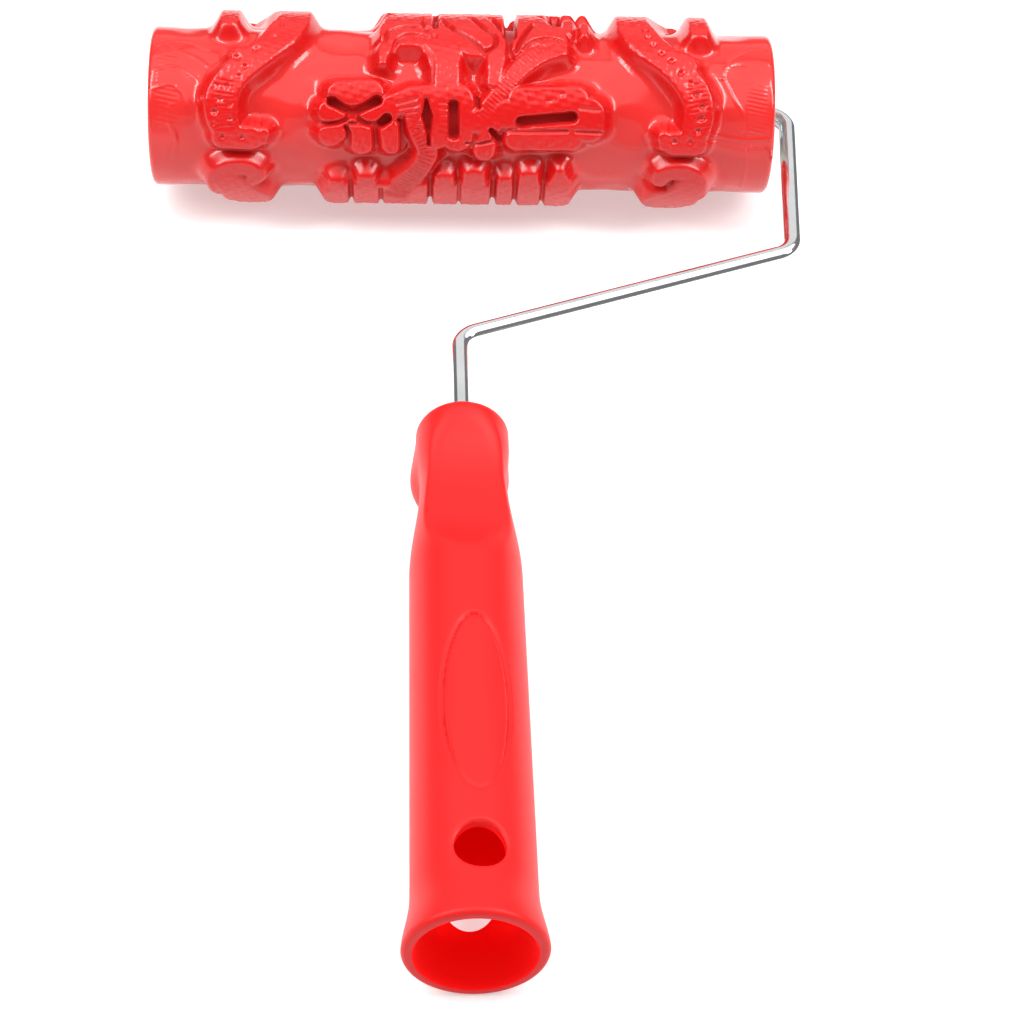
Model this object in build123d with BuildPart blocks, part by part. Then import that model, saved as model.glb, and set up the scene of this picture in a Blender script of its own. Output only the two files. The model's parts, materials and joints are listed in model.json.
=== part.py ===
from build123d import *
from math import asin, atan2, cos, degrees, hypot, radians, sin
import os

os.makedirs("parts", exist_ok=True)

# A pattern roller lying on a bench: the embossed roller turns on a bent wire
# frame, and the frame's tang sits in a hollow moulded handle.
# Row frame: +Z up from the bench, the axle along X, the handle towards -Y.
# The origin is on the bench, under the middle of the tool's bounding box.

# ---- driving dimensions, millimetres and degrees ----------------------------

roller_length = 180.0      # printing width of the sleeve
sleeve_wall = 5.0          # soft wall between the core tube and the motifs
relief_height = 5.0        # how far the motifs stand out of the base
relief_root = 0.5          # how far the motifs reach into the base
rim_round = 1.6            # rounded edge at both ends of the sleeve
core_outer_radius = 18.0   # stiff tube under the sleeve
core_wall = 2.0
core_recess = 4.0          # the tube stops this far inside the sleeve's ends

plug_flange = 2.0          # ring that seats on the end of the tube
plug_spigot = 14.0         # how deep the plug is pressed into the tube
plug_wall = 2.0
plug_web = 3.0
plug_hub_radius = 7.5
plug_ribs = 6
plug_rib_thickness = 1.6

wire_diameter = 5.2
running_clearance = 0.05   # radial, between the turning bushes and the axle
loose_clearance = 0.25     # radial, washers on the axle
end_play = 0.3             # axial gap between neighbours on the axle
bush_wall = 2.0
bush_flange_radius = 6.6
bush_flange = 1.2
washer_radius = 6.0
washer_thickness = 0.8
collar_radius = 5.4
collar_length = 1.8
ring_radius = 5.8
ring_thickness = 1.0
ring_dome = 0.8
rod_end = 0.6              # how far the rod's free end stands out of its retaining ring

arm_straight = 1.0         # straight rod between the stop collar and the first bend
arm_lean = 2.8             # how much the side arm leans in on its way down
arm_drop = 59.3            # axle to the lower corner of the side arm
diagonal_drop = 35.8       # that corner to the corner above the handle
bend_radius = 7.0          # centre line of the rod in every bend
tang_depth = 44.0          # how far the rod goes into the handle

handle_top = 129.0         # axle to the top of the handle
handle_length = 164.6
handle_x = -0.1            # the handle's top from the roller's middle
handle_lean = 1.0          # the handle leans towards the side arm
handle_twist = 5.2         # and is turned about its own length
head_radius = 12.2
head_round = 4.0
head_length = 4.0          # straight part of the head below its rounded top
waist_radius = 11.3
waist_depth = 21.0
shoulder_radius = 14.3
shoulder_depth = 53.0
grip_end_radius = 14.9
flare_length = 17.0
rim_radius = 17.0
rim_lip = 2.5              # straight lip at the very mouth
lip_round = 1.2

scoop_top = 5.4            # thumb scoop: where it starts and ends along the front
scoop_bottom = 53.0
scoop_floor = 6.0          # its lowest line, above the handle's axis
bump_offset = 8.0          # finger bump: its middle line, behind the handle's axis
bump_radius = 13.0
bump_top_radius = 11.8
bump_depth = 12.0          # widest place, from the top
bump_end_radius = 4.0
bump_length = 34.0

socket_radius = 12.2       # bore for an extension pole
socket_depth = 104.6       # from the mouth to the end of the bore
mouth_radius = 14.2
mouth_taper = 10.0         # length over which the mouth narrows to the socket
hang_hole_radius = 6.1
hang_hole_height = 20.5    # from the mouth to the hole's centre

panel_top = 75.9           # shallow oval outline on the front of the grip
panel_length = 52.7
panel_width = 16.1
panel_groove = 0.9         # width of the outline's groove
panel_depth = 0.35

# ---- worked-out sizes and planes --------------------------------------------

wire_radius = wire_diameter / 2
half_length = roller_length / 2
base_radius = core_outer_radius + sleeve_wall
relief_radius = base_radius + relief_height
core_inner_radius = core_outer_radius - core_wall
handle_reach = handle_top + handle_length

# Where each piece on the axle ends, from the middle of the roller outwards.
tube_half = half_length - core_recess
spigot_end = tube_half - plug_spigot
hub_face = tube_half - plug_flange
bush_face = hub_face + bush_flange
washer_face = bush_face + end_play + washer_thickness
stop_face = washer_face + end_play
collar_face = stop_face + collar_length
ring_face = stop_face + ring_thickness
free_end = ring_face + ring_dome + rod_end
arm_x = collar_face + arm_straight + bend_radius

# The tool rests on its relief and on the handle's rim, so its plane slopes a little.
tilt = asin((relief_radius - rim_radius) / handle_reach)
tool = Plane(
    origin=(
        -(arm_x + wire_radius - half_length) / 2,
        (handle_reach - relief_radius) / 2,
        relief_radius,
    ),
    x_dir=(1, 0, 0),
    z_dir=(0, -sin(tilt), cos(tilt)),
)
axle = Axis(tool.origin, tool.x_dir)


def in_tool(x, y, z=0.0):
    """Place in the row frame of a point given in the tool's plane."""
    return tool.from_local_coords(Vector(x, y, z))


def tool_direction(x, y, z=0.0):
    """Direction in the row frame of one given in the tool's plane."""
    return in_tool(x, y, z) - tool.origin


# The handle's frame starts at the top of its head: Z runs down its length to the
# mouth, X points right and Y points out of its front.
lean = radians(handle_lean)
twist = radians(handle_twist)
handle = Plane(
    origin=in_tool(handle_x, -handle_top),
    x_dir=tool_direction(cos(twist) * cos(lean), cos(twist) * sin(lean), -sin(twist)),
    z_dir=tool_direction(sin(lean), -cos(lean)),
)


def handle_side(behind=0.0):
    """Side view of the handle: X down its length, Y out of its front."""
    return Plane(
        origin=handle.origin - handle.y_dir * behind,
        x_dir=handle.z_dir,
        z_dir=-handle.x_dir,
    )


def end_plane(side, distance):
    """Plane across the axle, facing out of the frame side (1) or free side (-1)."""
    return Plane(
        origin=in_tool(side * distance, 0),
        x_dir=tool.y_dir,
        z_dir=tool.x_dir * side,
    )


def tangent_plane(x, angle, radius):
    """Plane that touches the roller at an angle; its X is along the axle."""
    across = -cos(radians(angle))
    up = sin(radians(angle))
    return Plane(
        origin=in_tool(x, across * radius, up * radius),
        x_dir=tool.x_dir,
        z_dir=tool_direction(0, across, up),
    )


def save(piece, name):
    """Label a finished piece and write it as its own STEP file."""
    piece.part.label = name
    export_step(piece.part, f"parts/{name}.step")
    print(f"{name}: {len(piece.part.solids())} solid, {piece.part.volume:.0f} mm3")


# ---- pattern sleeve ----------------------------------------------------------

# The pattern covers half a turn and is there twice around the sleeve. Each
# stroke is a round-ended raised bar: its two ends, as (place along the axle,
# angle up from the handle's side), and its width. Side strokes are mirrored.
side_strokes = [
    ((-48, 118), (-54, 92), 9.5),    # ribbon, from the far side over the top
    ((-54, 92), (-63, 70), 9.5),
    ((-63, 70), (-68, 50), 9.5),
    ((-68, 50), (-68, 34), 9.5),
    ((-67, 27), (-61, 23), 9.5),     # the ribbon's foot
    ((-66, -4), (-62, -6), 11.0),    # small curl under the foot
    ((-66, -14), (-64, -36), 12.0),
    ((-64, -36), (-62, -48), 9.0),
    ((-67.5, 104), (-67.5, 110), 7.0),
]
middle_strokes = [
    ((-36, 48), (-14, 48), 7.5),     # left flower
    ((-37, 36), (-28, 34), 8.0),
    ((-37, 22), (-20, 20), 8.5),
    ((-20, 38), (0, 40), 9.0),       # ribbed plate between the flowers
    ((-14, 24), (6, 22), 9.5),
    ((8, 45), (32, 46), 8.0),        # right flower
    ((8, 34), (36, 33), 8.0),
    ((8, 21), (30, 21), 7.5),
    ((-2, 50), (-2, 76), 9.0),       # stem and crown
    ((8, 44), (14, 62), 5.5),
    ((14, 62), (25, 78), 6.5),
    ((-20, 84), (22, 84), 9.5),
    ((-18, 102), (24, 102), 12.0),
    ((-14, 114), (6, 114), 9.0),
    ((19, 114), (23, 114), 9.0),
    ((31, 100), (31, 106), 4.5),
    ((-9, 14), (-14, -2), 6.5),      # trunk
    ((-14, -2), (-18, -18), 7.0),
    ((-34, -24), (30, -24), 12.0),   # row of leaves at the foot
    ((-32, -42), (28, -42), 12.0),
]
mirrored_strokes = [
    ((-x1, a1), (-x2, a2), width) for (x1, a1), (x2, a2), width in side_strokes
]

with BuildPart() as relief:
    for (x1, a1), (x2, a2), width in side_strokes + middle_strokes + mirrored_strokes:
        along = x2 - x1
        around = 2 * relief_radius * sin(radians(a2 - a1) / 2)
        with BuildSketch(tangent_plane((x1 + x2) / 2, (a1 + a2) / 2, base_radius / 2)):
            SlotCenterToCenter(
                hypot(along, around), width, rotation=degrees(atan2(around, along))
            )
        extrude(amount=relief_radius)
    # Keep only the shell between the base and the top of the relief.
    with BuildSketch(tool):
        with Locations((0, (base_radius - relief_root + relief_radius) / 2)):
            Rectangle(roller_length, relief_height + relief_root)
    revolve(axis=axle, mode=Mode.INTERSECT)

with BuildPart() as pattern_sleeve:
    with BuildSketch(tool):
        with Locations((0, (core_outer_radius + base_radius) / 2)):
            Rectangle(roller_length, base_radius - core_outer_radius)
        fillet(vertices().group_by(Axis(tool.origin, tool.y_dir))[-1], rim_round)
    revolve(axis=axle)
    add(relief.part.solids())
    add(relief.part.rotate(axle, 180).solids())
save(pattern_sleeve, "pattern_sleeve")

# ---- core tube ---------------------------------------------------------------

with BuildPart() as core_tube:
    with BuildSketch(end_plane(1, tube_half)):
        Circle(core_outer_radius)
        Circle(core_inner_radius, mode=Mode.SUBTRACT)
    extrude(amount=-2 * tube_half)
save(core_tube, "core_tube")

# ---- end plugs, bushes and thrust washers -------------------------------------

bush_outer_radius = wire_radius + running_clearance + bush_wall
rib_reach = core_inner_radius - plug_wall / 2


def make_plug(side, name):
    """Moulded end plug: flange, spigot, web, hub, and ribs behind the web."""
    with BuildPart() as plug:
        with BuildSketch(end_plane(side, tube_half)):
            Circle(core_outer_radius)
            Circle(core_inner_radius - plug_wall, mode=Mode.SUBTRACT)
        extrude(amount=plug_flange)
        with BuildSketch(end_plane(side, tube_half)):
            Circle(core_inner_radius)
            Circle(core_inner_radius - plug_wall, mode=Mode.SUBTRACT)
        extrude(amount=-plug_spigot)
        with BuildSketch(end_plane(side, hub_face)):
            Circle(core_inner_radius - plug_wall / 2)
        extrude(amount=-plug_web)
        with BuildSketch(end_plane(side, hub_face)):
            Circle(plug_hub_radius)
        extrude(amount=spigot_end - hub_face)
        with BuildSketch(end_plane(side, spigot_end)):
            with PolarLocations(rib_reach / 2, plug_ribs):
                Rectangle(rib_reach, plug_rib_thickness)
        extrude(amount=hub_face - plug_web - spigot_end)
        with BuildSketch(end_plane(side, hub_face)):
            Circle(bush_outer_radius)
        extrude(amount=spigot_end - hub_face, mode=Mode.SUBTRACT)
    save(plug, name)


def make_bush(side, name):
    """Flanged bush, pressed in the plug, that turns on the axle."""
    with BuildPart() as bush:
        with BuildSketch(end_plane(side, hub_face)):
            Circle(bush_flange_radius)
        extrude(amount=bush_flange)
        with BuildSketch(end_plane(side, hub_face)):
            Circle(bush_outer_radius)
        extrude(amount=spigot_end - hub_face)
        with BuildSketch(end_plane(side, bush_face)):
            Circle(wire_radius + running_clearance)
        extrude(amount=spigot_end - bush_face, mode=Mode.SUBTRACT)
    save(bush, name)


def make_washer(side, name):
    """Flat thrust washer, loose on the axle."""
    with BuildPart() as washer:
        with BuildSketch(end_plane(side, washer_face)):
            Circle(washer_radius)
            Circle(wire_radius + loose_clearance, mode=Mode.SUBTRACT)
        extrude(amount=-washer_thickness)
    save(washer, name)


for side, side_name in ((1, "frame_side"), (-1, "free_side")):
    make_plug(side, f"{side_name}_plug")
    make_bush(side, f"{side_name}_bush")
    make_washer(side, f"{side_name}_washer")

# ---- stop collar and retaining ring -------------------------------------------

with BuildPart() as stop_collar:
    with BuildSketch(end_plane(1, stop_face)):
        Circle(collar_radius)
        Circle(wire_radius, mode=Mode.SUBTRACT)
    extrude(amount=collar_length)
save(stop_collar, "stop_collar")

with BuildPart() as retaining_ring:
    with BuildSketch(end_plane(-1, stop_face)):
        Circle(ring_radius)
        Circle(wire_radius, mode=Mode.SUBTRACT)
    extrude(amount=ring_thickness)
    with BuildSketch(end_plane(-1, ring_face)):
        Circle(wire_radius + ring_thickness)
        Circle(wire_radius, mode=Mode.SUBTRACT)
    extrude(amount=ring_dome)
save(retaining_ring, "retaining_ring")

# ---- wire frame ----------------------------------------------------------------

stub_length = handle_top - arm_drop - diagonal_drop
stub_corner = (handle_x - stub_length * sin(lean), -handle_top + stub_length * cos(lean))
tang_end = (handle_x + tang_depth * sin(lean), -handle_top - tang_depth * cos(lean))

with BuildPart() as wire_frame:
    with BuildLine(tool) as rod_path:
        FilletPolyline(
            (-free_end, 0),
            (arm_x, 0),
            (arm_x - arm_lean, -arm_drop),
            stub_corner,
            tang_end,
            radius=bend_radius,
        )
    with BuildSketch(end_plane(-1, free_end)):
        Circle(wire_radius)
    sweep(path=rod_path.wires()[0])
save(wire_frame, "wire_frame")

# ---- handle --------------------------------------------------------------------

socket_end = handle_length - socket_depth
hole_depth = handle_length - hang_hole_height
scoop_middle = (scoop_top + scoop_bottom) / 2
scoop_clear = 2 * rim_radius
panel_middle = panel_top + panel_length / 2
grip_slope = (grip_end_radius - shoulder_radius) / (
    handle_length - flare_length - shoulder_depth
)
mouth_line_radius = grip_end_radius + grip_slope * flare_length
handle_front = Plane(origin=handle.origin, x_dir=handle.x_dir, z_dir=handle.y_dir)

# Shallow oval outline on the front of the grip, cut to an even depth.
with BuildPart() as outline_groove:
    with BuildSketch(handle_front):
        with Locations((0, -panel_middle)):
            Ellipse(panel_width / 2, panel_length / 2)
            Ellipse(
                panel_width / 2 - panel_groove,
                panel_length / 2 - panel_groove,
                mode=Mode.SUBTRACT,
            )
    extrude(amount=rim_radius)
    with BuildSketch(handle_side()):
        with BuildLine():
            Polyline(
                (shoulder_depth, shoulder_radius - panel_depth),
                (handle_length, mouth_line_radius - panel_depth),
                (handle_length, rim_radius),
                (shoulder_depth, rim_radius),
                close=True,
            )
        make_face()
    revolve(axis=Axis(handle.origin, handle.z_dir), mode=Mode.INTERSECT)

with BuildPart() as handle_grip:
    with BuildSketch(handle_side()):
        with BuildLine():
            top = Line((0, 0), (0, head_radius - head_round))
            crown = RadiusArc(top @ 1, (head_round, head_radius), head_round)
            head = Line(crown @ 1, (head_round + head_length, head_radius))
            waist = Spline(
                head @ 1,
                (waist_depth, waist_radius),
                (shoulder_depth, shoulder_radius),
                tangents=((1, 0), (1, 0)),
            )
            grip = Line(waist @ 1, (handle_length - flare_length, grip_end_radius))
            flare = Spline(
                grip @ 1,
                (handle_length - rim_lip, rim_radius),
                tangents=(grip % 1, (1, 0)),
            )
            lip = Line(flare @ 1, (handle_length - lip_round, rim_radius))
            lip_corner = RadiusArc(
                lip @ 1, (handle_length, rim_radius - lip_round), lip_round
            )
            Line(lip_corner @ 1, (handle_length, 0))
            Line((handle_length, 0), top @ 0)
        make_face()
    revolve(axis=Axis(handle.origin, handle.z_dir))
    # Finger bump: a spindle set behind the handle's own axis.
    with BuildSketch(handle_side(behind=bump_offset)):
        with BuildLine():
            bump_crown = RadiusArc(
                (0, bump_top_radius - head_round), (head_round, bump_top_radius), head_round
            )
            Line((0, 0), bump_crown @ 0)
            bump_side = Spline(
                bump_crown @ 1,
                (bump_depth, bump_radius),
                (bump_length, bump_end_radius),
                tangents=((1, 0.2), (1, -0.6)),
            )
            Line(bump_side @ 1, (bump_length, 0))
            Line((bump_length, 0), (0, 0))
        make_face()
    revolve(axis=Axis(handle_side(behind=bump_offset).origin, handle.z_dir))
    # Thumb scoop: one long arc across the front of the head.
    with BuildSketch(handle_side()):
        with BuildLine():
            scoop = ThreePointArc(
                (scoop_top, head_radius),
                (scoop_middle, scoop_floor),
                (scoop_bottom, shoulder_radius),
            )
            Polyline(
                scoop @ 1,
                (scoop_bottom, scoop_clear),
                (scoop_top, scoop_clear),
                scoop @ 0,
            )
        make_face()
    extrude(amount=rim_radius, both=True, mode=Mode.SUBTRACT)
    # Socket for an extension pole, narrowing from the mouth.
    with BuildSketch(handle_side()):
        with BuildLine():
            Polyline(
                (handle_length, 0),
                (handle_length, mouth_radius),
                (handle_length - mouth_taper, socket_radius),
                (socket_end + socket_radius / 2, socket_radius),
                (socket_end, socket_radius / 2),
                (socket_end, 0),
                close=True,
            )
        make_face()
    revolve(axis=Axis(handle.origin, handle.z_dir), mode=Mode.SUBTRACT)
    # Bore for the rod's tang.
    with BuildSketch(handle):
        Circle(wire_radius)
    extrude(amount=tang_depth, mode=Mode.SUBTRACT)
    # Hanging hole, straight through both walls.
    with BuildSketch(handle_front):
        with Locations((0, -hole_depth)):
            Circle(hang_hole_radius)
    extrude(amount=rim_radius, both=True, mode=Mode.SUBTRACT)
    add(outline_groove.part, mode=Mode.SUBTRACT)
save(handle_grip, "handle")
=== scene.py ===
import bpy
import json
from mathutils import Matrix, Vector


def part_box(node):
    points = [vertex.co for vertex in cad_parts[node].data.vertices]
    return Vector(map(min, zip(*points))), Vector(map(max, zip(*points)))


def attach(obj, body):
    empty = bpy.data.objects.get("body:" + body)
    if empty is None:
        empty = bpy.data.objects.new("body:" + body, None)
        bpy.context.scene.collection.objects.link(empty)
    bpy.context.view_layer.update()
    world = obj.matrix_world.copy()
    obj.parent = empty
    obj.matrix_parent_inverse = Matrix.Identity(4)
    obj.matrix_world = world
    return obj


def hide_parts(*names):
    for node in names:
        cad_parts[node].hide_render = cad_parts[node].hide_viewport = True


bl_info = {
    "name": "Pattern Roller",
    "version": (1, 0, 0),
    "blender": (4, 5, 0),
    "location": "3D View > Sidebar > Roller",
    "description": "Makes an embossed pattern roller with its bent rod and moulded handle",
    "category": "Object",
}

import json
from itertools import pairwise
from math import cos, hypot, pi, radians, sin, tan

import bmesh
import bpy
import numpy as np
from bpy.props import FloatProperty, FloatVectorProperty, IntProperty, PointerProperty
from mathutils import Matrix, Vector

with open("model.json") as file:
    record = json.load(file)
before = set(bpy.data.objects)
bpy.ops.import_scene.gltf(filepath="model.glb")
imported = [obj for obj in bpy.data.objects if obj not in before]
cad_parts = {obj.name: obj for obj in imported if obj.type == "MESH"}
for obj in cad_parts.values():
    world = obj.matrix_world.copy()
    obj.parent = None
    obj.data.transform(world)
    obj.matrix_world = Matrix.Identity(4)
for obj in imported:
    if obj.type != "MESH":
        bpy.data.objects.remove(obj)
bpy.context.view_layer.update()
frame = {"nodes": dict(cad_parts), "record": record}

MM = 0.001

# ---- places read from the frame -------------------------------------------------

joint = frame["record"]["behaviour"]["joints"][0]
mounts = {mount["name"]: mount for mount in frame["record"]["mounts"]}
axle = Vector(joint["pos_m"])
along = Vector(joint["axis"])
hole_middle = Vector(mounts["hanging_hole"]["pos_m"])
handle_down = Vector(mounts["pole_socket"]["axis"]).normalized()
handle_front = Vector(mounts["hanging_hole"]["axis"]).normalized()
handle_right = handle_front.cross(handle_down)
sleeve_low, sleeve_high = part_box("pattern_sleeve")
rod_low, rod_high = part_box("wire_frame")


# ---- sizes and colours that can be changed --------------------------------------


def length(name, description, millimetres):
    """A size, written here in millimetres and kept in metres."""
    return FloatProperty(
        name=name, description=description, default=millimetres * MM, unit="LENGTH"
    )


def angle(name, description, degrees):
    """An angle, written here in degrees and kept in radians."""
    return FloatProperty(
        name=name, description=description, default=radians(degrees), unit="ROTATION"
    )


def number(name, description, value):
    """A plain number."""
    return FloatProperty(name=name, description=description, default=value)


def power(name, description, watts):
    """The power of a light."""
    return FloatProperty(name=name, description=description, default=watts, unit="POWER")


def colour(name, description, red, green, blue):
    """A linear colour."""
    return FloatVectorProperty(
        name=name,
        description=description,
        default=(red, green, blue),
        subtype="COLOR",
        min=0.0,
        max=1.0,
    )


class SleeveSettings(bpy.types.PropertyGroup):
    """Sizes and colours of the printed sleeve."""

    relief_height: length("Relief height", "How far the motifs stand out", 5.0)
    bore_radius: length("Bore radius", "Inside of the sleeve, on its tube", 18.0)
    rim_round: length("Rim round", "Rounded edge at both ends", 1.6)
    wall_width: length("Wall width", "Width of a motif's sloping side", 7.4)
    step: length("Step", "Distance between neighbouring points of the surface", 0.42)
    base_colour: colour("Base", "Soft rubber between the motifs", 0.56, 0.020, 0.018)
    relief_colour: colour("Relief", "Rubber of the motifs", 0.52, 0.004, 0.004)
    # The slot colour is painted shade: the floors of the slots and grooves are darkened where
    # shade falls.
    slot_shade_colour: colour("Slots", "Bottom of the deep slots", 0.45, 0.001, 0.001)


class HandleSettings(bpy.types.PropertyGroup):
    """Sizes and colours of the moulded handle."""

    length: length("Length", "From the top of the head to the mouth", 164.6)
    hole_height: length("Hole height", "From the mouth to the hanging hole", 20.5)
    hole_radius: length("Hole radius", "Hanging hole", 6.1)
    head_radius: length("Head radius", "Top of the handle", 12.2)
    head_round: length("Head round", "Rounded edge of the top", 4.0)
    waist_radius: length("Waist radius", "Narrowest place, below the head", 11.3)
    waist_depth: length("Waist depth", "From the top to the waist", 21.0)
    shoulder_radius: length("Shoulder radius", "Where the grip begins", 14.3)
    shoulder_depth: length("Shoulder depth", "From the top to the grip", 53.0)
    grip_end_radius: length("Grip end radius", "Where the flare begins", 14.9)
    flare_length: length("Flare length", "From the grip to the mouth", 17.0)
    rim_radius: length("Rim radius", "Outside of the mouth", 17.0)
    mouth_radius: length("Mouth radius", "Inside of the mouth", 14.2)
    mouth_taper: length("Mouth taper", "Depth over which the mouth narrows", 10.0)
    socket_radius: length("Socket radius", "Bore for an extension pole", 12.2)
    socket_depth: length("Socket depth", "From the mouth to the bore's end", 104.6)
    scoop_top: length("Scoop top", "Where the thumb scoop starts", 5.4)
    scoop_bottom: length("Scoop bottom", "Where the thumb scoop ends", 53.0)
    scoop_floor: length("Scoop floor", "Lowest line of the scoop above the axis", 6.0)
    bump_offset: length("Bump offset", "Finger bump's middle, behind the axis", 8.0)
    bump_radius: length("Bump radius", "Finger bump at its widest", 13.0)
    bump_top_radius: length("Bump top radius", "Finger bump at the top", 11.8)
    bump_depth: length("Bump depth", "From the top to the bump's widest place", 12.0)
    bump_length: length("Bump length", "From the top to the bump's end", 34.0)
    bump_end_radius: length("Bump end radius", "Finger bump at its end", 4.0)
    oval_top: length("Oval top", "From the top to the oval outline", 75.9)
    oval_length: length("Oval length", "Length of the oval outline", 52.7)
    oval_width: length("Oval width", "Width of the oval outline", 16.1)
    oval_groove: length("Oval groove", "Width of the outline's groove", 0.8)
    oval_depth: length("Oval depth", "Depth of the outline's groove", 0.8)
    colour: colour("Handle", "Moulded plastic", 0.62, 0.011, 0.011)
    # Painted light: the bore is a brighter red than the handle and glows, for light that comes
    # in through the thin wall.
    bore_glow_colour: colour("Bore", "Inside of the handle", 0.90, 0.001, 0.001)
    bore_glow: number("Bore glow", "Light that comes in through the thin wall", 0.10)


class RodSettings(bpy.types.PropertyGroup):
    """Sizes and colour of the bent rod and of the small steel parts."""

    diameter: length("Diameter", "Thickness of the rod", 5.2)
    arm_lean: length("Arm lean", "How much the side arm leans in", 2.8)
    arm_drop: length("Arm drop", "Axle to the lower corner of the arm", 59.3)
    diagonal_drop: length("Diagonal drop", "That corner to the corner above the handle", 35.8)
    bend_radius: length("Bend radius", "Centre line of the rod in its bends", 7.0)
    tang_depth: length("Tang depth", "How far the rod goes into the handle", 44.0)
    chrome: colour("Chrome", "Plated rod", 0.86, 0.87, 0.88)
    zinc: colour("Zinc", "Washers, collar and ring", 0.62, 0.63, 0.66)
    plug: colour("Plug", "Moulded end plugs", 0.42, 0.41, 0.38)
    bush: colour("Bush", "Waxy bearing plastic", 0.48, 0.45, 0.36)
    tube: colour("Tube", "Stiff tube under the sleeve", 0.40, 0.40, 0.38)


class StageSettings(bpy.types.PropertyGroup):
    """Floor, lights and camera."""

    floor_colour: colour("Floor", "Bench the tool lies on", 0.62, 0.62, 0.62)
    floor_glow: number("Floor glow", "Light through the bench's pale sheet", 0.45)
    floor_size: length("Floor size", "Side of the floor", 6000.0)
    eye_side: length("Eye side", "Camera, along the axle from the roller", -10.6)
    eye_back: length("Eye back", "Camera, towards the handle from the axle", 651.5)
    eye_height: length("Eye height", "Camera, above the tool's plane", 545.9)
    eye_turn: angle("Eye turn", "Camera turned to the side", 2.71)
    eye_tip: angle("Eye tip", "Camera tipped down", 47.91)
    eye_roll: angle("Eye roll", "Camera rolled about its own line", 2.61)
    lens: number("Lens", "Focal length in millimetres", 100.64)
    box_power: power("Softbox power", "Large light overhead", 20.0)
    side_power: power("Side power", "Each of the tall lights at the sides", 13.0)
    front_power: power("Front power", "Low light behind the handle", 4.0)
    back_power: power("Back power", "Light wall behind the roller", 10.0)
    ambient: number("Ambient", "Even light of the room", 0.20)


class RollerSettings(bpy.types.PropertyGroup):
    """Everything about the roller that can be changed."""

    sleeve: PointerProperty(type=SleeveSettings)
    handle: PointerProperty(type=HandleSettings)
    rod: PointerProperty(type=RodSettings)
    stage: PointerProperty(type=StageSettings)
    around: IntProperty(
        name="Rod sides", description="Points around the rod", default=40, min=12
    )


def settings():
    """The scene's roller settings."""
    return bpy.context.scene.pattern_roller


# ---- planes of the tool ----------------------------------------------------------


def head_top():
    """Middle of the top of the handle's head."""
    handle = settings().handle
    return hole_middle - handle_down * (handle.length - handle.hole_height)


def tool_axes():
    """Directions from the handle to the roller and up, in the tool's own plane."""
    to_axle = axle - head_top()
    forward = (to_axle - along * to_axle.dot(along)).normalized()
    return forward, along.cross(forward)


# ---- mesh helpers ----------------------------------------------------------------


def smooth_step(t):
    """0 below 0, 1 above 1, and an even curve between them."""
    t = np.clip(t, 0.0, 1.0)
    return t * t * t * (t * (6.0 * t - 15.0) + 10.0)


def soft_min(a, b, width):
    """The smaller of two, blended where they are within width of each other."""
    blend = np.maximum(width - np.abs(a - b), 0.0) / width
    return np.minimum(a, b) - blend * blend * width / 4.0


def soft_max(a, b, width):
    """The larger of two, blended where they are within width of each other."""
    return -soft_min(-a, -b, width)


def even_turns(count):
    """Angles spread evenly over a full turn."""
    return np.arange(count) * 2 * pi / count


def new_object(name, data):
    """Object in the scene that holds a mesh, a light or a camera."""
    holder = bpy.data.objects.new(name, data)
    bpy.context.scene.collection.objects.link(holder)
    return holder


def store_mark(piece, name, values):
    """Store a value at each point of a piece, for its material to read."""
    layer = piece.data.attributes.new(name, "FLOAT", "POINT")
    layer.data.foreach_set("value", values.astype(np.float32))


def grid_object(name, rows, ring=False):
    """Closed skin through rows of points. Each row closes on itself; with ring the
    last row joins the first, and otherwise both ends are closed by a fan."""
    rows = np.asarray(rows)
    count, around = rows.shape[:2]
    points = rows.reshape(-1, 3)
    index = np.arange(count * around).reshape(count, around)
    upper = index if ring else index[:-1]
    lower = np.roll(index, -1, axis=0) if ring else index[1:]
    quads = np.stack(
        [upper, np.roll(upper, -1, axis=1), np.roll(lower, -1, axis=1), lower], axis=-1
    )
    faces = quads.reshape(-1, 4).tolist()
    if not ring:
        ends = [rows[0].mean(axis=0), rows[-1].mean(axis=0)]
        points = np.vstack([points, ends])
        for row, middle in ((index[0], len(points) - 2), (index[-1], len(points) - 1)):
            faces += [[a, b, middle] for a, b in zip(row, np.roll(row, -1))]
    mesh = bpy.data.meshes.new(name)
    mesh.from_pydata(points.tolist(), [], faces)
    piece = new_object(name, mesh)
    shell = bmesh.new()
    shell.from_mesh(mesh)
    bmesh.ops.recalc_face_normals(shell, faces=shell.faces)
    shell.to_mesh(mesh)
    shell.free()
    mesh.shade_smooth()
    return piece


def finished(piece, body, material):
    """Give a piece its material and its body."""
    piece.data.materials.clear()
    piece.data.materials.append(material)
    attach(piece, body)


# ---- materials -------------------------------------------------------------------


class Value:
    """A number that varies over a surface. Arithmetic on it adds Math nodes."""

    def __init__(self, finish, socket):
        self.finish = finish
        self.socket = socket

    def __add__(self, other):
        return self.finish.math("ADD", self, other)

    __radd__ = __add__

    def __mul__(self, other):
        return self.finish.math("MULTIPLY", self, other)

    __rmul__ = __mul__


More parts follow.
